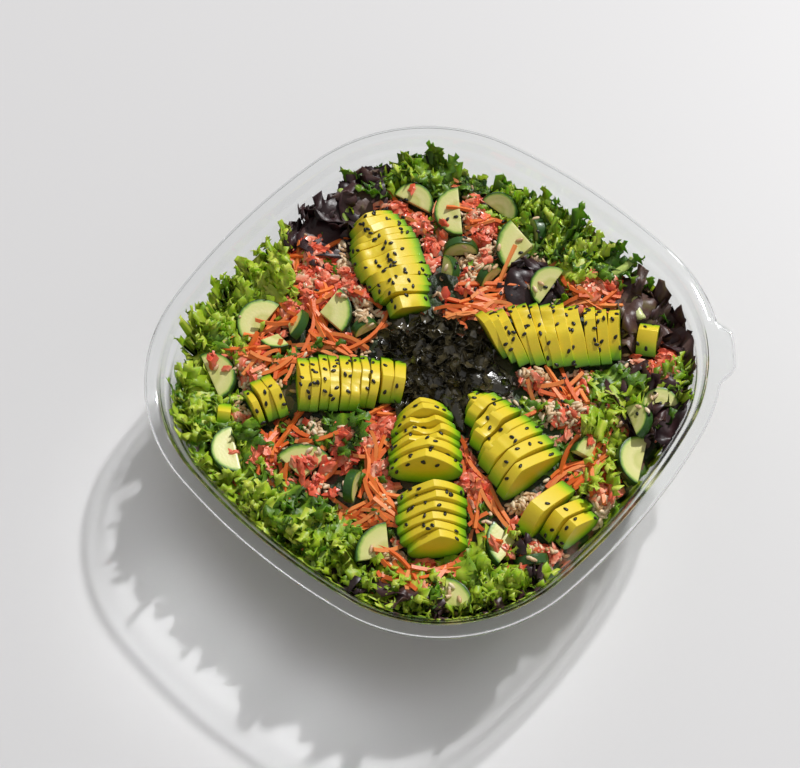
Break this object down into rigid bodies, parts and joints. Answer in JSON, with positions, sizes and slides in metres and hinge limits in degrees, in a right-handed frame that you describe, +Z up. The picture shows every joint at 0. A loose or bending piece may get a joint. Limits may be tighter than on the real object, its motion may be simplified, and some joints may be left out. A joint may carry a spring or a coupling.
{
  "type": "poke bowl",
  "caption": "Clear rounded-square tub of tossed salad with rice, crab and carrot shreds, topped with fanned avocado, cucumber, nori and sesame.",
  "frame": {"origin": "centre of the tub's flat underside, on the plane that it stands on", "axes": "+Z up; the tub's sides face +X, -X, +Y and -Y, with the lift tab at the corner between +X and +Y"},
  "size_m": [0.305, 0.305, 0.0893],
  "materials": {
    "clear_plastic": "clear, thin, glossy moulded sheet",
    "salad": "moist leaves, rice and shreds",
    "nori": "crinkled dry seaweed with a dull gloss",
    "avocado": "soft smooth flesh, green at the skin side",
    "cucumber": "moist pale flesh with a dark green skin"
  },
  "bodies": {
    "root": {"tub": "clear_plastic", "salad": "salad", "nori": "nori", "avocado_back_left": "avocado", "avocado_back_right": "avocado", "avocado_back_right_end": "avocado", "avocado_right": "avocado", "avocado_right_slice": "avocado", "avocado_right_end": "avocado", "avocado_front_right": "avocado", "avocado_front_right_end": "avocado", "avocado_front_left": "avocado", "avocado_front_left_end": "avocado", "avocado_front_left_tip": "avocado", "cucumber_01": "cucumber", "cucumber_02": "cucumber", "cucumber_03": "cucumber", "cucumber_04": "cucumber", "cucumber_05": "cucumber", "cucumber_06": "cucumber", "cucumber_07": "cucumber", "cucumber_08": "cucumber", "cucumber_09": "cucumber", "cucumber_10": "cucumber", "cucumber_11": "cucumber", "cucumber_12": "cucumber", "cucumber_13": "cucumber", "cucumber_14": "cucumber", "cucumber_15": "cucumber", "cucumber_16": "cucumber", "cucumber_17": "cucumber", "cucumber_18": "cucumber", "cucumber_19": "cucumber", "cucumber_20": "cucumber", "cucumber_21": "cucumber", "cucumber_22": "cucumber", "cucumber_23": "cucumber", "cucumber_24": "cucumber", "cucumber_25": "cucumber", "cucumber_26": "cucumber"}
  },
  "joints": []
}
